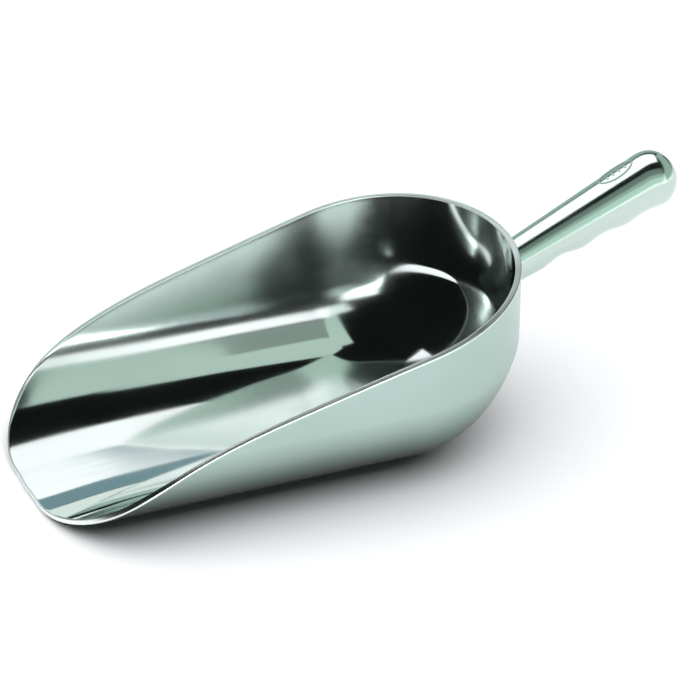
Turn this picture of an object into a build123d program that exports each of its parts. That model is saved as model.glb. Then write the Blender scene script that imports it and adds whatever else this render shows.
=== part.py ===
"""Cast aluminium feed scoop: a deep trough with a rounded back, and a finger grip on its back wall.

Millimetres and degrees, +Z up. The scoop points its lip along -X and its grip along +X, and it is
symmetric about Y = 0. The shapes are laid out from the tip of the lip, at the flat underside's
height, and then moved so that the origin is the bottom centre of the whole scoop's box.
"""

import os
from math import cos, pi, radians, sin, sqrt

from build123d import *

# Bowl, outside
BOWL_LENGTH = 250.0  # tip of the lip to the back wall
BACK_CENTRE = 177.0  # where the straight sides end and the rounded back begins
SIDE_REACH = 74.0  # half-width that the side walls stand at, before their flare
SIDE_RISE = 35.0  # height at which the side's lower corner ends
SIDE_POWER = 2.18  # roundness of that corner: 2 is an ellipse, more is squarer
SIDE_FLARE = 0.111  # lean of the side walls
BACK_REACH = BOWL_LENGTH - BACK_CENTRE
BACK_RISE = 50.0  # height at which the heel's curve ends
BACK_POWER = 1.61  # the heel is more of a slope than the sides' corner
FLAT_HALF_WIDTH = 12.0  # flat strip that the scoop rests on
FLAT_PAST_CENTRE = 4.5  # how far the flat strip runs behind BACK_CENTRE
WALL = 3.0
MOUTH_MARGIN = 6.0  # the walls are first made this far past the lip and above the rim

# Side view of the rim, as (distance from the tip of the lip, height)
RIM_POINTS = [
    (0.0, 0.0),
    (9.0, 6.4),
    (30.0, 22.3),
    (65.0, 41.8),
    (120.0, 59.3),
    (190.0, 77.1),
    (250.0, 89.5),
]

# Grip
GRIP_HEIGHT = 68.3  # the grip's axis at the back wall
GRIP_TILT = 22.7
GRIP_LENGTH = 98.0
GRIP_ROOT_RADIUS = 10.4  # half thickness at the back wall
GRIP_END_RADIUS = 15.7  # half thickness at the domed end, before rounding
GRIP_WIDTH_RATIO = 0.9  # width over thickness
GRIP_EMBED = 12.0  # the grip starts this far inside the wall, and is then cut to the wall
DOME_POWER = 2.2
SCALLOP_START = 15.0  # the first ridge under the grip, then one every pitch
SCALLOP_PITCH = 24.0
SCALLOP_ROOT_DEPTH = 3.4
SCALLOP_END_DEPTH = 1.0

# Fillet round the grip's root
FILLET_RADIUS = 4.5
FILLET_STEP = 0.25  # thickness left at the fillet's thin edge

# Raised oval on top of the grip
BADGE_STATION = 70.0  # its centre, along the grip from the back wall
BADGE_LENGTH = 20.0
BADGE_WIDTH = 9.6
BADGE_BORDER = 0.9
BADGE_RELIEF = 0.5
BAR_PITCH = 3.4
BAR_COUNT = 4
BAR_WIDTH = 1.3
BAR_LENGTH = 4.0


def rise(height, full_height, power):
    """Share of the full reach at a height: 0 at the underside, 1 from full_height up."""
    below = max(full_height - height, 0.0) / full_height
    return (1.0 - below**power) ** (1.0 / power)


def side_reach(height, inset):
    """Half-width of the trough at a height above its own floor."""
    corner = SIDE_REACH - inset - FLAT_HALF_WIDTH
    return FLAT_HALF_WIDTH + corner * rise(height, SIDE_RISE, SIDE_POWER) + SIDE_FLARE * height


def back_reach(height, inset):
    """How far the rounded back runs behind BACK_CENTRE."""
    heel = BACK_REACH - inset - FLAT_PAST_CENTRE
    return FLAT_PAST_CENTRE + heel * rise(height, BACK_RISE, BACK_POWER)


def trough_slice(height, inset):
    """Level slice of the trough as a face, closed off ahead of the lip, its back a half ellipse."""
    half_width = side_reach(height, inset)
    reach = back_reach(height, inset)
    left = (BACK_CENTRE, half_width)
    right = (BACK_CENTRE, -half_width)
    with BuildSketch(Plane.XY.offset(height + inset)) as slice_face:
        with BuildLine():
            Polyline(left, (-MOUTH_MARGIN, half_width), (-MOUTH_MARGIN, -half_width), right)
            EllipticalCenterArc((BACK_CENTRE, 0), reach, half_width, start_angle=-90, arc_size=180)
        make_face()
    return slice_face.sketch.face()


def trough_solid(inset, top):
    """Solid trough up to a height, its surfaces moved in by inset."""
    corner_steps = 7
    heights = [BACK_RISE * (step / corner_steps) ** 2 for step in range(corner_steps + 1)]
    upper_steps = 3
    for step in range(1, upper_steps + 1):
        heights.append(BACK_RISE + (top - inset - BACK_RISE) * step / upper_steps)
    return loft([trough_slice(height, inset) for height in heights])


def space_above_rim(top):
    """Everything above the rim's side view, as wide as the scoop."""
    lip_tip = RIM_POINTS[0]
    back = RIM_POINTS[-1]
    ahead = -2 * MOUTH_MARGIN
    behind = BOWL_LENGTH + 2 * MOUTH_MARGIN
    last_slope = (back[1] - RIM_POINTS[-2][1]) / (back[0] - RIM_POINTS[-2][0])
    with BuildSketch(Plane.XZ) as side_view:
        with BuildLine():
            Spline(*RIM_POINTS)
            Polyline(
                back,
                (behind, back[1] + last_slope * (behind - back[0])),
                (behind, 2 * top),
                (ahead, 2 * top),
                (ahead, -MOUTH_MARGIN),
                (0.0, -MOUTH_MARGIN),
                lip_tip,
            )
        make_face()
    return extrude(side_view.sketch, amount=2 * SIDE_REACH, both=True)


def grip_radius(station):
    """Half thickness of the grip before its scallops and dome."""
    return GRIP_ROOT_RADIUS + (GRIP_END_RADIUS - GRIP_ROOT_RADIUS) * station / GRIP_LENGTH


def dome_share(station):
    """Share of the full section left by the domed end."""
    into_dome = (station - (GRIP_LENGTH - GRIP_END_RADIUS)) / GRIP_END_RADIUS
    return sqrt(max(1.0 - max(into_dome, 0.0) ** DOME_POWER, 0.0))


def scallop(station):
    """Depth of the finger scallops, nothing ahead of the first ridge."""
    if station <= SCALLOP_START:
        return 0.0
    depth = SCALLOP_ROOT_DEPTH + (SCALLOP_END_DEPTH - SCALLOP_ROOT_DEPTH) * station / GRIP_LENGTH
    return depth * sin(pi * (station - SCALLOP_START) / SCALLOP_PITCH) ** 2


def grip_plane(station):
    """Plane square to the grip: its Y points up the grip's thickness, its normal along the grip."""
    tilt = radians(GRIP_TILT)
    origin = (BOWL_LENGTH + station * cos(tilt), 0.0, GRIP_HEIGHT + station * sin(tilt))
    return Plane(origin=origin, x_dir=(0, 1, 0), z_dir=(cos(tilt), 0, sin(tilt)))


def grip_slice(station, grow):
    """Oval slice of the grip, grown outwards by grow."""
    share = dome_share(station)
    radius = grip_radius(station)
    top = radius * share + grow
    bottom = (radius - scallop(station)) * share + grow
    with BuildSketch(grip_plane(station)) as oval:
        with Locations((0, (top - bottom) / 2)):
            Ellipse(GRIP_WIDTH_RATIO * radius * share + grow, (top + bottom) / 2)
    return oval.sketch.face()


def grip_stations():
    """Where the grip is sliced: from inside the wall, four slices a scallop, then round the dome."""
    spacing = SCALLOP_PITCH / 4
    dome_start = GRIP_LENGTH - GRIP_END_RADIUS
    stations = [-GRIP_EMBED, 0.0, SCALLOP_START / 2, SCALLOP_START]
    while stations[-1] + 1.5 * spacing < dome_start:
        stations.append(stations[-1] + spacing)
    for turn in (0, 25, 45, 62, 75, 84):
        stations.append(dome_start + GRIP_END_RADIUS * sin(radians(turn)))
    return stations


def grip_solid(grow):
    """Whole grip, from inside the bowl to the tip of its dome."""
    return loft([grip_slice(station, grow) for station in grip_stations()])


def upright_grip_slice(distance, spread):
    """Upright slice of the grip's root at a distance behind the back wall, widened by spread."""
    tilt = radians(GRIP_TILT)
    centre = (BOWL_LENGTH + distance, 0.0, GRIP_HEIGHT + distance * sin(tilt) / cos(tilt))
    radius = grip_radius(distance)
    with BuildSketch(Plane(origin=centre, x_dir=(0, 1, 0), z_dir=(1, 0, 0))) as oval:
        Ellipse(GRIP_WIDTH_RATIO * radius + spread, radius / cos(tilt) + spread)
    return oval.sketch.face()


def root_fillet_solid():
    """Concave ring that blends the grip's root into the back wall."""
    sections = [upright_grip_slice(-GRIP_EMBED, FILLET_RADIUS)]
    steps = 4
    for step in range(steps + 1):
        turn = radians(90.0 * step / steps)
        distance = FILLET_RADIUS * (1.0 - cos(turn))
        spread = FILLET_RADIUS * (1.0 - sin(turn)) + FILLET_STEP
        sections.append(upright_grip_slice(distance, spread))
    return loft(sections, ruled=True)


def badge_prism(sketch_face):
    """Raise a flat outline through the top half of the grip."""
    return extrude(sketch_face, amount=2 * GRIP_END_RADIUS)


def badge_plane():
    """Plane along the grip's axis under the badge, with its X along the grip and its normal up."""
    section = grip_plane(BADGE_STATION)
    return Plane(origin=section.origin, x_dir=section.z_dir, z_dir=section.y_dir)


def badge_border_outline():
    """Oval ring."""
    with BuildSketch(badge_plane()) as ring:
        Ellipse(BADGE_LENGTH / 2, BADGE_WIDTH / 2)
        Ellipse(BADGE_LENGTH / 2 - BADGE_BORDER, BADGE_WIDTH / 2 - BADGE_BORDER, mode=Mode.SUBTRACT)
    return ring.sketch


def badge_bars_outline():
    """Plain upright bars inside the ring."""
    with BuildSketch(badge_plane()) as bars:
        with GridLocations(BAR_PITCH, 0, BAR_COUNT, 1):
            SlotOverall(BAR_LENGTH, BAR_WIDTH, rotation=90)
    return bars.sketch


def raised(outline, grip, skin):
    """What an outline leaves standing on the grip, BADGE_RELIEF high."""
    return badge_prism(outline) & skin - grip


top = RIM_POINTS[-1][1] + MOUTH_MARGIN
outside = trough_solid(0.0, top)
cavity = trough_solid(WALL, top + 1.0)
bowl = outside - cavity - space_above_rim(top)

grip = grip_solid(0.0) - outside
root_fillet = root_fillet_solid() - outside - grip
skin = grip_solid(BADGE_RELIEF)
border = raised(badge_border_outline(), grip, skin)
bars = raised(badge_bars_outline(), grip, skin)

nodes = {
    "bowl_shell": bowl,
    "handle_grip": grip,
    "root_fillet": root_fillet,
    "badge_border": border,
    "badge_bars": bars,
}

box = (bowl + grip).bounding_box()
to_origin = Pos(-(box.min.X + box.max.X) / 2, 0, -box.min.Z)

os.makedirs("parts", exist_ok=True)
for name, shape in nodes.items():
    placed = to_origin * Compound(children=shape.solids())
    export_step(placed, f"parts/{name}.step")
    print(name, len(placed.solids()), round(placed.volume, 1))
print("cavity up to the rim, ml:", round((cavity - space_above_rim(top)).volume / 1000))
print("tip of the lip at x:", round(to_origin.position.X, 3))
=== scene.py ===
"""Looks of the cast aluminium feed scoop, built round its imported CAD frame.

Shapes are laid out in millimetres from the tip of the lip, as the CAD model does, and placed in
the row frame, in metres, by place().
"""
import math

import bmesh
import bpy
import numpy as np
from mathutils import Matrix, Vector


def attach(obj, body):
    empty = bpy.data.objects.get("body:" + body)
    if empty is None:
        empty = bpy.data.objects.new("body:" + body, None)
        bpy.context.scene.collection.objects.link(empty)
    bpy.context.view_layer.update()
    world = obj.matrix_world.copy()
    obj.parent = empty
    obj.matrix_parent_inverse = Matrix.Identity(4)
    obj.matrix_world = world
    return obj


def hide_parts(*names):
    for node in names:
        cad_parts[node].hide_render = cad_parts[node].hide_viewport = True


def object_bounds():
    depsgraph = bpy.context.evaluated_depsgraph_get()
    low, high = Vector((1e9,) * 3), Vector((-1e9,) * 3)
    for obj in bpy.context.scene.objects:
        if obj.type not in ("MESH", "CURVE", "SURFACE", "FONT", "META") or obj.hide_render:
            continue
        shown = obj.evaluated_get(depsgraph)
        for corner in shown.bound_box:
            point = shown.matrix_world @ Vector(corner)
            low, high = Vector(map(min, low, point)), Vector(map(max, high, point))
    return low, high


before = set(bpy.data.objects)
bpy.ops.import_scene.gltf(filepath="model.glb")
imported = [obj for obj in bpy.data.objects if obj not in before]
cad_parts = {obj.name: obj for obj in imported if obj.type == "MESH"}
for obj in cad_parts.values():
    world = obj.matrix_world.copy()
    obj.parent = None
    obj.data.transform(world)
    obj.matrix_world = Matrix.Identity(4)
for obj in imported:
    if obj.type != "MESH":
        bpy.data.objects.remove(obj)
cad_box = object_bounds()

# ---------------------------------------------------------------- the scoop's dimensions, mm
BOWL_LENGTH = 250.0
BACK_CENTRE = 177.0
SIDE_REACH = 74.0
SIDE_RISE = 35.0
SIDE_POWER = 2.18
SIDE_FLARE = 0.111
BACK_REACH = BOWL_LENGTH - BACK_CENTRE
BACK_RISE = 50.0
BACK_POWER = 1.61
FLAT_HALF_WIDTH = 12.0
FLAT_PAST_CENTRE = 4.5
WALL = 3.0
LIP_WALL = 2.0  # the casting is ground thinner at the tip of the lip
LIP_TAPER = 30.0
BELLY = 3.0  # how much thicker the casting grows below its rim
BELLY_DEPTH = 30.0
BELLY_FADE = (120.0, 235.0)  # from the lip's tip: the back wall is even again
LIP_ROUNDING = 1.2  # takes the corners off the lip's straight front edge
RIM_ROUND = 0.9  # how far the rounded rim stands above the wall's faces
RIM_LEVEL = 3.0  # 0 is a rim square to the leaning walls, more is nearer level
RIM_SQUARENESS = 0.35  # 1 is a half round rim, less is flatter

# Side view of the rim, as (distance from the tip of the lip, height)
RIM_POINTS = [
    (0.0, 0.0),
    (9.0, 6.4),
    (30.0, 22.3),
    (65.0, 41.8),
    (120.0, 59.3),
    (190.0, 77.1),
    (250.0, 89.5),
]

GRIP_HEIGHT = 68.3
GRIP_TILT = math.radians(22.7)
GRIP_LENGTH = 98.0
GRIP_ROOT_RADIUS = 10.4
GRIP_END_RADIUS = 15.7
GRIP_WIDTH_RATIO = 0.9
GRIP_EMBED = 1.5
DOME_POWER = 2.2
SCALLOP_START = 15.0
SCALLOP_PITCH = 24.0
SCALLOP_ROOT_DEPTH = 3.4
SCALLOP_END_DEPTH = 1.0
FILLET_RADIUS = 4.5
FILLET_SINK = 1.2  # how far its hidden side lies inside the metal

BADGE_STATION = 70.0  # its centre, along the grip from the back wall
BADGE_LENGTH = 20.0
BADGE_WIDTH = 9.6
BADGE_BORDER = 0.9
BADGE_RELIEF = 0.45
BADGE_SINK = 0.25  # how far the relief reaches into the grip
BAR_PITCH = 3.4
BAR_COUNT = 4
BAR_WIDTH = 1.3
BAR_LENGTH = 4.0

MM = 0.001  # in metres
LIP_X = cad_box[0][0]
MERGE = 0.001  # points of a mesh closer than this, in millimetres, become one
PROFILE_TOP = 100.0  # height to which the trough's section is worked out, above the rim
PROFILE_SAMPLES = 6000


def place(points):
    """Millimetres from the tip of the lip to metres in the row frame."""
    moved = np.array(points, float) * MM
    moved[..., 0] += LIP_X
    return moved


# ---------------------------------------------------------------- shape functions


def rise(height, full_height, power):
    """Share of the full reach at a height: 0 at the underside, 1 from full_height up."""
    below = np.clip((full_height - height) / full_height, 0.0, 1.0)
    return (1.0 - below**power) ** (1.0 / power)


def side_reach(height):
    """Half-width of the trough, outside."""
    corner = SIDE_REACH - FLAT_HALF_WIDTH
    return FLAT_HALF_WIDTH + corner * rise(height, SIDE_RISE, SIDE_POWER) + SIDE_FLARE * height


def back_reach(height):
    """How far the rounded back runs behind BACK_CENTRE, outside."""
    heel = BACK_REACH - FLAT_PAST_CENTRE
    return FLAT_PAST_CENTRE + heel * rise(height, BACK_RISE, BACK_POWER)


def natural_spline(points, samples):
    """Smooth curve through (x, y) points, as y at each of samples."""
    x, y = np.array(points, float).T
    count = len(x)
    step = np.diff(x)
    slope = np.diff(y) / step
    matrix = np.eye(count)
    right = np.zeros(count)
    for i in range(1, count - 1):
        matrix[i, i - 1 : i + 2] = step[i - 1], 2 * (step[i - 1] + step[i]), step[i]
        right[i] = 6 * (slope[i] - slope[i - 1])
    bend = np.linalg.solve(matrix, right)
    i = np.clip(np.searchsorted(x, samples) - 1, 0, count - 2)
    to_next = x[i + 1] - samples
    from_last = samples - x[i]
    cubic = (bend[i] * to_next**3 + bend[i + 1] * from_last**3) / (6 * step[i])
    last = (y[i] / step[i] - bend[i] * step[i] / 6) * to_next
    following = (y[i + 1] / step[i] - bend[i + 1] * step[i] / 6) * from_last
    return cubic + last + following


def rim_height(x):
    """Height of the rim in side view."""
    return natural_spline(RIM_POINTS, np.clip(x, 0.0, BOWL_LENGTH))


def side_profile():
    """Half section of the trough, from the keel line to above the rim: (along the surface, y, z)."""
    heights = PROFILE_TOP * np.linspace(0.0, 1.0, PROFILE_SAMPLES) ** 3
    y = np.concatenate([[0.0], side_reach(heights)])
    z = np.concatenate([[0.0], heights])
    along = np.concatenate([[0.0], np.cumsum(np.hypot(np.diff(y), np.diff(z)))])
    return along, y, z


# ---------------------------------------------------------------- mesh helpers


def smooth_object(name, points, faces, slots=None, merge=MERGE):
    """A smooth-shaded mesh object from points in millimetres from the tip of the lip."""
    mesh = bpy.data.meshes.new(name)
    mesh.from_pydata(place(points).tolist(), [], faces)
    if slots is not None:
        mesh.polygons.foreach_set("material_index", slots)
    piece = bpy.data.objects.new(name, mesh)
    bpy.context.scene.collection.objects.link(piece)
    work = bmesh.new()
    work.from_mesh(mesh)
    bmesh.ops.remove_doubles(work, verts=work.verts, dist=merge * MM)
    bmesh.ops.dissolve_degenerate(work, edges=work.edges, dist=merge * MM)
    bmesh.ops.recalc_face_normals(work, faces=work.faces)
    work.to_mesh(mesh)
    work.free()
    mesh.polygons.foreach_set("use_smooth", [True] * len(mesh.polygons))
    mesh.validate()
    return piece


def grid_faces(rows, columns, first=0, wrap=False):
    """Quads of a rows by columns grid of points, its last row joined to its first if wrap."""
    faces = []
    for row in range(rows if wrap else rows - 1):
        here = first + row * columns
        there = first + (row + 1) % rows * columns
        for k in range(columns - 1):
            faces.append((here + k, there + k, there + k + 1, here + k + 1))
    return faces


def grid_normals(grid):
    """Unit normals of a grid of points, by differences."""
    normals = np.cross(np.gradient(grid, axis=0), np.gradient(grid, axis=1))
    length = np.linalg.norm(normals, axis=-1, keepdims=True)
    return normals / np.maximum(length, 1e-12)


# ---------------------------------------------------------------- bowl

SIDE_STATIONS = 150  # rows of points from the tip of the lip to the start of the rounded back
BACK_STATIONS = 84  # rows from there to the plane of symmetry, the first of them shared
PROFILE_COLUMNS = 72  # points of a row, from the keel to the rim
RIM_COLUMNS = 15  # faces across the rounded rim
FAN_START = 45.0  # where the surface's lines leave the keel for the tip of the lip
SIDE_SAMPLES = 40000  # fine samples of the rim's height, which find where the lip's edge lies
RIM_SAMPLES = 8000  # fine samples of the rim, closest together at the lip
LIP_SAMPLES = 200  # fine samples of the lip's straight front edge
HEIGHT_PASSES = 30  # repeats that settle the rim's height round the back
OUTSIDE, INSIDE, RIM = 0, 1, 2  # the bowl's material slots


def rim_trace(along, z):
    """Rim of the half bowl's side at even steps, as x and the place along the trough's section."""
    side = np.linspace(0.0, BACK_CENTRE, SIDE_SAMPLES)
    lip_x = np.interp(RIM_ROUND, rim_height(side), side)
    x = lip_x + (BACK_CENTRE - lip_x) * np.linspace(0.0, 1.0, RIM_SAMPLES) ** 2
    rim_q = np.interp(rim_height(x) - RIM_ROUND, z[1:], along[1:])
    rim_x = np.concatenate([np.full(LIP_SAMPLES, lip_x), x])
    rim_q = np.concatenate([np.linspace(0.0, rim_q[0], LIP_SAMPLES, endpoint=False), rim_q])
    off_centre = (rim_q / FLAT_HALF_WIDTH) ** 2
    rim_x = rim_x + LIP_ROUNDING * off_centre * np.exp(-off_centre)
    travelled = np.concatenate([[0.0], np.cumsum(np.hypot(np.diff(rim_x), np.diff(rim_q)))])
    even = np.linspace(0.0, travelled[-1], SIDE_STATIONS)
    return np.interp(even, travelled, rim_x), np.interp(even, travelled, rim_q)


def side_rows():
    """Rows of points on the straight part of the half bowl."""
    along, y, z = side_profile()
    share = np.linspace(0.0, 1.0, PROFILE_COLUMNS)
    rows = []
    for end_x, end_q in zip(*rim_trace(along, z)):
        start_x = FAN_START + (BACK_CENTRE - FAN_START) * end_x / BACK_CENTRE
        row_x = start_x + (end_x - start_x) * share
        q = end_q * share
        rows.append(np.stack([row_x, np.interp(q, along, y), np.interp(q, along, z)], axis=1))
    return rows


def back_rows(last_side_row):
    """Rows of points on the rounded back of the half bowl, on from the last row of its side."""
    _, side_y, side_z = last_side_row.T
    on_flat = np.minimum(side_y / FLAT_HALF_WIDTH, 1.0)
    rows = []
    for turn in np.radians(np.linspace(90.0, 0.0, BACK_STATIONS)[1:]):
        sine, cosine = math.sin(turn), math.cos(turn)
        top = side_z[-1]
        for _ in range(HEIGHT_PASSES):
            top = rim_height(BACK_CENTRE + back_reach(top) * cosine) - RIM_ROUND
        height = side_z * top / side_z[-1]
        reach = np.where(on_flat < 1.0, FLAT_PAST_CENTRE * on_flat, back_reach(height))
        width = np.where(on_flat < 1.0, FLAT_HALF_WIDTH * on_flat, side_reach(height))
        rows.append(np.stack([BACK_CENTRE + reach * cosine, width * sine, height], axis=1))
    return rows


def bowl_half_grid():
    """Outside of the half of the bowl on +Y: rows round the rim, columns from the keel to the rim."""
    rows = side_rows()
    return np.array(rows + back_rows(rows[-1]))


def wall_thickness(outside):
    """Thickness of the casting at a grid of points: thinner at the lip, thicker below the rim."""
    x, z = outside[..., 0], outside[..., 2]
    below_rim = np.maximum(rim_height(x) - z, 0.0)
    thinning = (WALL - LIP_WALL) * np.exp(-x / LIP_TAPER)
    along = np.clip((x - BELLY_FADE[0]) / (BELLY_FADE[1] - BELLY_FADE[0]), 0.0, 1.0)
    at_sides = 1.0 - along**2 * (3.0 - 2.0 * along)
    return WALL - thinning + BELLY * at_sides * np.tanh(below_rim / BELLY_DEPTH)


def unit(vectors):
    """Vectors along the last axis at length 1."""
    return vectors / np.linalg.norm(vectors, axis=-1, keepdims=True)


def outward_normals(half):
    """Outward unit normals of the half bowl, exact on the flat strip and at the planes of symmetry."""
    normals = grid_normals(half)
    normals[:, 0] = normals[:, 1]
    normals[:SIDE_STATIONS, 0] = (0.0, 0.0, -1.0)
    normals *= np.sign(normals[SIDE_STATIONS // 2, -1, 1])
    normals[half[..., 2] < 1e-6] = (0.0, 0.0, -1.0)
    normals[SIDE_STATIONS - 1, :, 0] = 0.0
    normals[-1, :, 1] = 0.0
    return unit(normals)


def rounded_rim(half, normals, thickness):
    """Columns of points that go over the rim from the outside to the inside."""
    edge_points = half[:, -1]
    edge_normals = normals[:, -1]
    along_rim = unit(np.gradient(edge_points, axis=0))
    beyond = np.cross(edge_normals, along_rim)
    away = edge_points - half[:, -2]
    beyond *= np.sign((beyond * away).sum(-1, keepdims=True))
    upwards = np.array([0.0, 0.0, 1.0]) - along_rim * along_rim[:, 2:]
    beyond = unit(beyond + RIM_LEVEL * np.maximum(beyond[:, 2:], 0.0) * upwards)
    half_wall = edge_normals * thickness[:, -1] / 2
    columns = []
    for step in range(1, RIM_COLUMNS):
        turn = math.pi * step / RIM_COLUMNS
        across = math.copysign(abs(math.cos(turn)) ** RIM_SQUARENESS, math.cos(turn))
        up = math.sin(turn) ** RIM_SQUARENESS
        columns.append(edge_points - half_wall + half_wall * across + beyond * RIM_ROUND * up)
    return np.stack(columns, axis=1)


def bowl_piece():
    """The bowl as one closed shell, with its faces in the slots OUTSIDE, INSIDE and RIM."""
    half = bowl_half_grid()
    normals = outward_normals(half)
    thickness = wall_thickness(half)[..., None]
    inside = half - normals * thickness
    over = rounded_rim(half, normals, thickness)
    loop = np.concatenate([half, over, inside[:, ::-1]], axis=1)
    rows, columns = loop.shape[:2]
    mirrored = loop * (1.0, -1.0, 1.0)
    points = np.concatenate([loop, mirrored]).reshape(-1, 3)
    faces = grid_faces(rows, columns)
    faces += [tuple(reversed(face)) for face in grid_faces(rows, columns, first=rows * columns)]
    walls = PROFILE_COLUMNS - 1
    column_slot = [OUTSIDE] * walls + [RIM] * RIM_COLUMNS + [INSIDE] * walls
    slots = column_slot * (2 * (rows - 1))
    return smooth_object("bowl", points, faces, slots, merge=2 * MERGE)


# ---------------------------------------------------------------- grip

ROUND_POINTS = 96  # points round the grip, its fillet and the badge's border
ROOT_STATIONS = 24
SCALLOPED_STATIONS = 130
DOME_STATIONS = 36
FILLET_POINTS = 14  # points across the fillet's concave face
FILLET_PASSES = 3  # repeats that settle the fillet on the back wall


def grip_radius(station):
    """Half thickness of the grip before its scallops and dome."""
    return GRIP_ROOT_RADIUS + (GRIP_END_RADIUS - GRIP_ROOT_RADIUS) * station / GRIP_LENGTH


def dome_share(station):
    """Share of the full section left by the domed end."""
    into_dome = np.clip((station - (GRIP_LENGTH - GRIP_END_RADIUS)) / GRIP_END_RADIUS, 0.0, 1.0)
    return np.sqrt(1.0 - into_dome**DOME_POWER)


def scallop(station):
    """Depth of the finger scallops."""
    depth = SCALLOP_ROOT_DEPTH + (SCALLOP_END_DEPTH - SCALLOP_ROOT_DEPTH) * station / GRIP_LENGTH
    wave = np.sin(math.pi * (station - SCALLOP_START) / SCALLOP_PITCH) ** 2
    return np.where(station > SCALLOP_START, depth * wave, 0.0)


def grip_point(station, turn, grow=0.0):
    """Point on the grip: turn 0 is its top ridge, and a quarter turn its +Y side."""
    share = dome_share(station)
    radius = grip_radius(station)
    top = radius * share + grow
    bottom = (radius - scallop(station)) * share + grow
    thick = np.where(np.cos(turn) >= 0, top, bottom) * np.cos(turn)
    wide = (GRIP_WIDTH_RATIO * radius * share + grow) * np.sin(turn)
    x = BOWL_LENGTH + station * math.cos(GRIP_TILT) - thick * math.sin(GRIP_TILT)
    z = GRIP_HEIGHT + station * math.sin(GRIP_TILT) + thick * math.cos(GRIP_TILT)
    return np.stack([x, wide, z], axis=-1)


def grip_piece():
    """The grip, from just inside the back wall to the tip of its dome."""
    dome_start = GRIP_LENGTH - GRIP_END_RADIUS
    scalloped = np.linspace(SCALLOP_START, dome_start, SCALLOPED_STATIONS, endpoint=False)
    dome = dome_start + GRIP_END_RADIUS * np.sin(np.linspace(0.0, math.pi / 2, DOME_STATIONS))
    turns = np.linspace(0.0, 2 * math.pi, ROUND_POINTS, endpoint=False)[:, None]
    upright = (GRIP_ROOT_RADIUS * np.cos(turns) * math.sin(GRIP_TILT) - GRIP_EMBED) / math.cos(GRIP_TILT)
    root = upright + (SCALLOP_START - upright) * np.linspace(0.0, 1.0, ROOT_STATIONS, endpoint=False)
    beyond_root = np.tile(np.concatenate([scalloped, dome]), (ROUND_POINTS, 1))
    stations = np.concatenate([root, beyond_root], axis=1)
    grid = grip_point(stations, turns)
    rows, columns = grid.shape[:2]
    faces = grid_faces(rows, columns, wrap=True)
    faces.append(tuple(i * columns for i in range(rows)))
    return smooth_object("grip", grid.reshape(-1, 3), faces)


def fillet_piece():
    """Concave ring that blends the grip's root into the back wall, closed inside the metal."""
    turns = np.linspace(0.0, 2 * math.pi, ROUND_POINTS, endpoint=False)
    sweep = np.linspace(0.0, math.pi / 2, FILLET_POINTS)
    out = np.append(FILLET_RADIUS * (1.0 - np.cos(sweep)), -FILLET_SINK)
    spread = np.append(FILLET_RADIUS * (1.0 - np.sin(sweep)), -FILLET_SINK)
    slope = math.tan(GRIP_TILT)
    x = BOWL_LENGTH + out[None, :]
    for _ in range(FILLET_PASSES):
        radius = grip_radius(x - BOWL_LENGTH)
        y = (GRIP_WIDTH_RATIO * radius + spread) * np.sin(turns)[:, None]
        tall = (radius / math.cos(GRIP_TILT) + spread) * np.cos(turns)[:, None]
        z = GRIP_HEIGHT + (x - BOWL_LENGTH) * slope + tall
        x = BACK_CENTRE + back_reach(z) * np.sqrt(1.0 - (y / side_reach(z)) ** 2) + out
    ring = np.stack([x, y, z], axis=-1)
    ring = np.concatenate([ring, ring[:, :1]], axis=1)
    faces = grid_faces(*ring.shape[:2], wrap=True)
    return smooth_object("fillet", ring.reshape(-1, 3), faces)


# ---------------------------------------------------------------- badge

BORDER_POINTS = 13  # round the border's section, the last on the first
BAR_ROUND_POINTS = 33  # round a bar, the last on the first
BAR_STEPS = 9  # from a bar's middle to its edge
BAR_CORNERS = 0.6  # 1 is an ellipse, less is squarer


def on_grip(along, across, lift):
    """Points above the top of the grip, from places along and across the badge."""
    station = BADGE_STATION + along
    turn = np.arcsin(across / (GRIP_WIDTH_RATIO * grip_radius(station)))
    return grip_point(station, turn, lift)


def border_piece():
    """Half-round oval border."""
    around = np.linspace(0.0, 2 * math.pi, ROUND_POINTS, endpoint=False)[:, None]
    over = np.linspace(0.0, 2 * math.pi, BORDER_POINTS)[None, :]
    half = BADGE_BORDER / 2
    out = half * np.cos(over)
    along = (BADGE_LENGTH / 2 - half + out) * np.cos(around)
    across = (BADGE_WIDTH / 2 - half + out) * np.sin(around)
    lift = np.where(np.sin(over) > 0, BADGE_RELIEF, BADGE_SINK) * np.sin(over)
    ring = on_grip(along, across, lift)
    faces = grid_faces(*ring.shape[:2], wrap=True)
    return smooth_object("badge_oval", ring.reshape(-1, 3), faces)


def bar_piece(number):
    """One plain raised bar, pillow-shaped, that stands across the badge."""
    around = np.linspace(0.0, 2 * math.pi, BAR_ROUND_POINTS)[:, None]
    share = np.sin(np.linspace(0.0, math.pi / 2, BAR_STEPS))[None, :]
    middle = BAR_PITCH * (number - (BAR_COUNT - 1) / 2)
    cosine, sine = np.cos(around), np.sin(around)
    along = middle + BAR_WIDTH / 2 * share * np.sign(cosine) * np.abs(cosine) ** BAR_CORNERS
    across = BAR_LENGTH / 2 * share * np.sign(sine) * np.abs(sine) ** BAR_CORNERS
    lift = (BADGE_RELIEF + BADGE_SINK) * np.sqrt(1.0 - share**4) - BADGE_SINK
    dome = on_grip(along, across, lift)
    faces = grid_faces(*dome.shape[:2])
    return smooth_object(f"badge_bar_{number}", dome.reshape(-1, 3), faces)


# ---------------------------------------------------------------- materials


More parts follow.
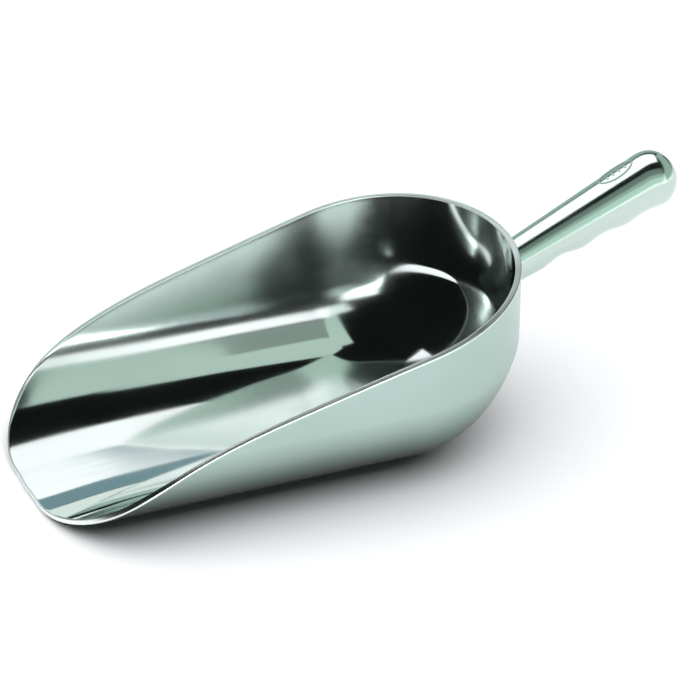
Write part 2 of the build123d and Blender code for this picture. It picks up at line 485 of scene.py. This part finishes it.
class Metal:
    """A metal material, and short calls that add nodes to it."""

    def __init__(self, name, colour):
        self.material = bpy.data.materials.new(name)
        self.material.use_nodes = True
        self.tree = self.material.node_tree
        self.shader = self.tree.nodes["Principled BSDF"]
        self.shader.inputs["Metallic"].default_value = 1.0
        self.colour = colour
        self.place = self.tree.nodes.new("ShaderNodeTexCoord").outputs["Object"]

    def node(self, kind, **inputs):
        """A node with its inputs set, or linked where the value is another node's output."""
        made = self.tree.nodes.new(kind)
        for name, value in inputs.items():
            self.feed(made, name, value)
        return made

    def feed(self, node, name, value):
        """Set or link one input."""
        if isinstance(value, bpy.types.NodeSocket):
            self.tree.links.new(value, node.inputs[name])
        else:
            node.inputs[name].default_value = value

    def noise(self, scale, detail=2.0, stretch=(1.0, 1.0, 1.0), distortion=0.0):
        """Noise of the object's own place, drawn out along an axis by a stretch under 1."""
        moved = self.node("ShaderNodeMapping", Vector=self.place, Scale=stretch)
        shape = {"Scale": scale, "Detail": detail, "Distortion": distortion}
        return self.node("ShaderNodeTexNoise", Vector=moved.outputs[0], **shape).outputs["Fac"]

    def spread(self, value, low, high, start=0.3, end=0.7):
        """Map a noise's usual range to low..high."""
        ends = {"From Min": start, "From Max": end, "To Min": low, "To Max": high}
        return self.node("ShaderNodeMapRange", Value=value, **ends).outputs[0]

    def combine(self, operation, first, second):
        """Arithmetic on two values."""
        made = self.tree.nodes.new("ShaderNodeMath")
        made.operation = operation
        for socket, value in zip(made.inputs, (first, second)):
            if isinstance(value, bpy.types.NodeSocket):
                self.tree.links.new(value, socket)
            else:
                socket.default_value = value
        return made.outputs[0]

    def tint(self, value, shade):
        """Base colour that goes from the metal's own colour to shade times it, as value goes 0 to 1."""
        mix = self.tree.nodes.new("ShaderNodeMix")
        mix.data_type = "RGBA"
        self.tree.links.new(value, mix.inputs["Factor"])
        mix.inputs["A"].default_value = (*self.colour, 1.0)
        mix.inputs["B"].default_value = (*(channel * shade for channel in self.colour), 1.0)
        self.feed(self.shader, "Base Color", mix.outputs["Result"])

    def roughness(self, value):
        """Set or link the roughness."""
        self.feed(self.shader, "Roughness", value)

    def bump(self, height, distance, strength=1.0, under=None):
        """Bump of height times distance, in metres, on top of another bump."""
        made = self.node("ShaderNodeBump", Height=height, Distance=distance, Strength=strength)
        if under is not None:
            self.tree.links.new(under, made.inputs["Normal"])
        return made.outputs[0]


# Base colours
SATIN = (0.46, 0.59, 0.54)
MIRROR = (0.84, 0.90, 0.875)
GRIP_METAL = (0.56, 0.66, 0.61)
DULL = (0.38, 0.46, 0.43)

# Noise scales, in features per metre
CLOUD_SCALE = 14.0
GRAIN_SCALE = 900.0
BRUSHING_SCALE = 420.0
HAZE_SCALE = 9.0
SCRATCH_SCALE = 260.0
WAVE_SCALE = 7.0

# Bump heights, in metres
GRAIN_HEIGHT = 0.00002
BRUSHING_HEIGHT = 0.00003
SCRATCH_HEIGHT = 0.000004
WAVINESS = 0.0001  # slow waves left by hand polishing
INSIDE_WAVINESS = 0.0006

SATIN_ROUGHNESS = (0.30, 0.36)
BRUSHING_ROUGHNESS = 0.03  # more or less of it along the brushing

# The brushed upper walls inside, in metres in the row frame
BRUSHED_ROUGHNESS = 0.15  # added to the mirror's own
BRUSHED_FROM_Z = (0.014, 0.028)  # where the brushing fades in, upwards
BRUSHED_TO_X = (0.020, 0.060)  # where it fades out, towards the back

# Painted shade on the base of the outside: its colour darkens towards the bottom in place of the shadowed
# floor it reflects. In metres in the row frame
PAINTED_SHADE_BELOW_Z = (0.016, 0.044)  # full painted shade below, and none above
PAINTED_SHADE_SHARE = 0.14  # share of the colour that is left under the full painted shade


def satin_metal():
    """Outside of the bowl: blasted, lightly brushed along its length, and darker near its base, where the
    colour holds painted shade.
    """
    metal = Metal("satin aluminium", SATIN)
    cloud = metal.noise(CLOUD_SCALE, detail=3.0)
    grain = metal.noise(GRAIN_SCALE)
    brushing = metal.noise(BRUSHING_SCALE, detail=4.0, stretch=(0.05, 1.0, 1.0))
    parts = metal.node("ShaderNodeSeparateXYZ", Vector=metal.place)
    # painted shade: the colour darkens towards the base, standing in for the reflected shadowed floor; the
    # cloud adds a little random tone
    low = metal.spread(parts.outputs["Z"], 1.0, 0.0, *PAINTED_SHADE_BELOW_Z)
    metal.tint(metal.combine("ADD", low, metal.spread(cloud, 0.0, 0.08)), PAINTED_SHADE_SHARE)
    patchy = metal.spread(cloud, *SATIN_ROUGHNESS)
    streaky = metal.spread(brushing, -BRUSHING_ROUGHNESS, BRUSHING_ROUGHNESS)
    metal.roughness(metal.combine("ADD", patchy, streaky))
    blasted = metal.bump(grain, GRAIN_HEIGHT, 0.5)
    brushed = metal.bump(brushing, BRUSHING_HEIGHT, 0.5, under=blasted)
    metal.feed(metal.shader, "Normal", brushed)
    return metal.material


def brushed_walls(metal):
    """Extra roughness of the bowl's upper side walls, which are brushed and not buffed."""
    parts = metal.node("ShaderNodeSeparateXYZ", Vector=metal.place)
    high = metal.spread(parts.outputs["Z"], 0.0, BRUSHED_ROUGHNESS, *BRUSHED_FROM_Z)
    ahead = metal.spread(parts.outputs["X"], 1.0, 0.0, *BRUSHED_TO_X)
    return metal.combine("MULTIPLY", high, ahead)


def polished_metal(name, colour, waviness, roughness, scratches, walls=False):
    """Hand-polished metal: slow waves, faint scratches and hazy patches."""
    metal = Metal(name, colour)
    haze = metal.noise(HAZE_SCALE, detail=3.0, distortion=0.6)
    lines = metal.noise(SCRATCH_SCALE, detail=3.0, stretch=(0.03, 1.0, 1.0))
    wave = metal.noise(WAVE_SCALE, detail=1.0, stretch=(0.5, 1.0, 1.0))
    metal.tint(metal.spread(haze, 0.0, 1.0, 0.45, 0.75), 0.95)
    hazy = metal.spread(haze, roughness, roughness * 2.2, 0.42, 0.75)
    rough = metal.combine("ADD", hazy, metal.spread(lines, 0.0, scratches, 0.5, 0.8))
    if walls:
        rough = metal.combine("ADD", rough, brushed_walls(metal))
    metal.roughness(rough)
    waved = metal.bump(wave, waviness)
    metal.feed(metal.shader, "Normal", metal.bump(lines, SCRATCH_HEIGHT, 0.3, under=waved))
    return metal.material


# ---------------------------------------------------------------- studio

CARD_HEIGHT = 1.0  # metres above the floor, of the cards overhead
FLOOR_GAP = 0.0005  # metres from the floor to the scoop's underside
FLOOR_HALF_SIZE = 6.0
PAPER = (0.90, 0.90, 0.90)
DIM_WORLD = (0.62, 0.80, 0.76)
DIM_WORLD_STRENGTH = 0.008
GREEN = (0.78, 1.0, 0.90)
PALE = (0.90, 1.0, 0.96)
TEAL = (0.55, 0.90, 1.0)
WHITE = (0.97, 0.98, 1.0)


def collection_of(name, pieces):
    """A collection that a light is linked to."""
    made = bpy.data.collections.new(name)
    for piece in pieces:
        made.objects.link(piece)
    return made


def softbox(name, centre, aim, size, colour, radiance, receivers):
    """Rectangular light that faces aim and lights only its receivers.

    Its size, in metres, is (across, up), or (along X, along Y) for one that lies level.
    Radiance 1 shows as white in a perfect mirror.
    """
    light = bpy.data.lights.new(name, "AREA")
    light.shape = "RECTANGLE"
    light.size, light.size_y = size
    light.color = colour
    light.energy = radiance * math.pi * size[0] * size[1]
    lamp = bpy.data.objects.new(name, light)
    bpy.context.scene.collection.objects.link(lamp)
    back = (Vector(centre) - Vector(aim)).normalized()
    right = (Vector((1, 0, 0)) - back * back.x).normalized()
    up = back.cross(right)
    lamp.matrix_world = Matrix((right, up, back)).transposed().to_4x4()
    lamp.location = centre
    lamp.light_linking.receiver_collection = receivers
    return lamp


def ceiling_card(name, x_range, y_range, colour, radiance, receivers, turn=0.0):
    """Level card over the scoop that faces down, turned about its middle by an angle in degrees."""
    centre = (sum(x_range) / 2, sum(y_range) / 2)
    size = (x_range[1] - x_range[0], y_range[1] - y_range[0])
    card = softbox(name, (*centre, CARD_HEIGHT), (*centre, 0.0), size, colour, radiance, receivers)
    card.rotation_euler.rotate_axis("Z", math.radians(turn))


def studio_world():
    """White to the camera and dim to everything else, so the cards shape the reflections."""
    world = bpy.data.worlds.new("studio")
    world.use_nodes = True
    tree = world.node_tree
    dim = tree.nodes["Background"]
    dim.inputs["Color"].default_value = (*DIM_WORLD, 1.0)
    dim.inputs["Strength"].default_value = DIM_WORLD_STRENGTH
    white = tree.nodes.new("ShaderNodeBackground")
    white.inputs["Color"].default_value = (1.0, 1.0, 1.0, 1.0)
    path = tree.nodes.new("ShaderNodeLightPath")
    mix = tree.nodes.new("ShaderNodeMixShader")
    tree.links.new(path.outputs["Is Camera Ray"], mix.inputs[0])
    tree.links.new(dim.outputs[0], mix.inputs[1])
    tree.links.new(white.outputs[0], mix.inputs[2])
    tree.links.new(mix.outputs[0], tree.nodes["World Output"].inputs[0])
    bpy.context.scene.world = world


def floor_piece():
    """Plain pale floor."""
    half = FLOOR_HALF_SIZE
    corners = [(-half, -half, 0), (half, -half, 0), (half, half, 0), (-half, half, 0)]
    mesh = bpy.data.meshes.new("floor")
    mesh.from_pydata(corners, [], [(0, 1, 2, 3)])
    floor = bpy.data.objects.new("floor", mesh)
    bpy.context.scene.collection.objects.link(floor)
    floor.location.z = -FLOOR_GAP
    paper = bpy.data.materials.new("white paper")
    paper.use_nodes = True
    shader = paper.node_tree.nodes["Principled BSDF"]
    shader.inputs["Base Color"].default_value = (*PAPER, 1.0)
    shader.inputs["Roughness"].default_value = 0.8
    mesh.materials.append(paper)
    return floor


def studio(bowl_parts, grip_parts, floor):
    """Cards round the scoop. The bowl, the grip and the floor each have their own."""
    bowl_only = collection_of("lit_bowl", bowl_parts)
    grip_only = collection_of("lit_grip", grip_parts)
    floor_only = collection_of("lit_floor", [floor])
    # seen in the bowl: level cards overhead, and upright ones in front, behind and beside the lip
    ceiling_card("front white", (0.12, 0.66), (-1.20, -0.56), WHITE, 1.30, bowl_only)
    ceiling_card("front dim", (-0.40, 0.12), (-1.20, -0.60), PALE, 1.00, bowl_only)
    ceiling_card("front green", (-0.05, 0.27), (-0.60, 0.24), GREEN, 0.60, bowl_only)
    ceiling_card("middle green", (0.27, 0.62), (-0.50, 0.04), GREEN, 0.30, bowl_only)
    ceiling_card("side green", (0.18, 0.62), (0.04, 0.38), GREEN, 0.60, bowl_only, turn=25.0)
    softbox("low front", (-0.45, -1.5, 0.22), (-0.45, 0.0, 0.22), (2.2, 0.36), PALE, 6.0, bowl_only)
    ceiling_card("back white", (-0.50, 1.20), (0.86, 1.57), WHITE, 1.15, bowl_only)
    ceiling_card("back teal", (-0.50, 1.20), (1.57, 2.32), TEAL, 0.32, bowl_only)
    softbox("back wall", (0.0, 2.2, 0.48), (0.0, 0.0, 0.48), (4.0, 0.9), PALE, 0.85, bowl_only)
    softbox("lip side", (-0.62, -1.02, 0.48), (0.0, 0.07, 0.06), (0.8, 0.45), PALE, 1.60, bowl_only)
    # seen in the grip
    softbox("grip top", (-0.06, 0.16, 0.56), (0.13, 0.06, 0.10), (1.5, 0.64), WHITE, 1.85, grip_only)
    softbox("grip front", (0.12, -0.62, 0.16), (0.12, 0.0, 0.14), (1.5, 0.26), GREEN, 0.95, grip_only)
    softbox("grip front middle", (0.12, -0.60, 0.36), (0.12, 0.0, 0.12), (1.5, 0.16), GREEN, 0.60, grip_only)
    softbox("grip front top", (0.12, -0.60, 0.62), (0.12, 0.0, 0.12), (1.5, 0.30), GREEN, 0.28, grip_only)
    softbox("grip back", (0.12, 0.62, 0.25), (0.12, 0.0, 0.14), (1.5, 0.50), GREEN, 0.55, grip_only)
    softbox("grip end", (0.82, -0.10, 0.28), (0.15, 0.0, 0.12), (0.60, 1.6), GREEN, 0.60, grip_only)
    # the floor
    softbox("floor light", (0.0, 0.4, 3.0), (0.0, 0.4, 0.0), (8.0, 8.0), WHITE, 1.95, floor_only)


# ---------------------------------------------------------------- camera

CAMERA_AZIMUTH = math.radians(-20.972)  # from straight ahead of the near side, towards the lip
CAMERA_ELEVATION = math.radians(29.224)
CAMERA_ROLL = math.radians(-1.042)
CAMERA_DISTANCE = 1.93665  # metres, from the target
CAMERA_TARGET = Vector((LIP_X + 0.13739, 0.0, 0.037))
CAMERA_AIM_RIGHT = 0.01225  # turned away from the target, as a share of the distance
CAMERA_AIM_UP = 0.00658
FOCAL_LENGTH = 211.76  # millimetres, on the sensor's width
SENSOR_WIDTH = 36.0


def camera():
    """Photograph's viewpoint: ahead of the scoop's near side, from above."""
    level = math.cos(CAMERA_ELEVATION)
    back = Vector(
        (
            math.sin(CAMERA_AZIMUTH) * level,
            -math.cos(CAMERA_AZIMUTH) * level,
            math.sin(CAMERA_ELEVATION),
        )
    )
    position = CAMERA_TARGET + back * CAMERA_DISTANCE
    right = Vector((0, 0, 1)).cross(back).normalized()
    up = back.cross(right)
    rolled_right = right * math.cos(CAMERA_ROLL) + up * math.sin(CAMERA_ROLL)
    rolled_up = up * math.cos(CAMERA_ROLL) - right * math.sin(CAMERA_ROLL)
    aim = (back - rolled_right * CAMERA_AIM_RIGHT - rolled_up * CAMERA_AIM_UP).normalized()
    right = rolled_up.cross(aim).normalized()
    up = aim.cross(right)
    lens = bpy.data.cameras.new("camera")
    lens.sensor_width = SENSOR_WIDTH
    lens.lens = FOCAL_LENGTH
    lens.clip_start = 0.05
    lens.clip_end = 50.0
    view = bpy.data.objects.new("camera", lens)
    view.matrix_world = Matrix((right, up, aim)).transposed().to_4x4()
    view.location = position
    bpy.context.scene.collection.objects.link(view)
    bpy.context.scene.camera = view


# ---------------------------------------------------------------- the scoop

camera()
satin = satin_metal()
mirror = polished_metal(
    "mirror-polished aluminium", MIRROR, INSIDE_WAVINESS, roughness=0.05, scratches=0.03, walls=True
)
edge = polished_metal("buffed rim", MIRROR, WAVINESS, roughness=0.26, scratches=0.05)
hand = polished_metal("polished grip", GRIP_METAL, WAVINESS, roughness=0.14, scratches=0.04)
relief = polished_metal("dull relief", DULL, WAVINESS, roughness=0.30, scratches=0.05)

bowl = bowl_piece()
for material in (satin, mirror, edge):
    bowl.data.materials.append(material)
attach(bowl, "root")
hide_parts("bowl_shell")

grip = grip_piece()
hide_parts("handle_grip")
fillet = fillet_piece()
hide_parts("root_fillet")
for piece in (grip, fillet):
    piece.data.materials.append(hand)
    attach(piece, "root")

border = border_piece()
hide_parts("badge_border")
bars = [bar_piece(number) for number in range(BAR_COUNT)]
for piece in [border, *bars]:
    piece.data.materials.append(relief)
    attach(piece, "root")
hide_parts("badge_bars")

floor = floor_piece()
studio_world()
studio([bowl], [grip, fillet, border, *bars], floor)
bpy.context.scene.view_settings.view_transform = "Standard"
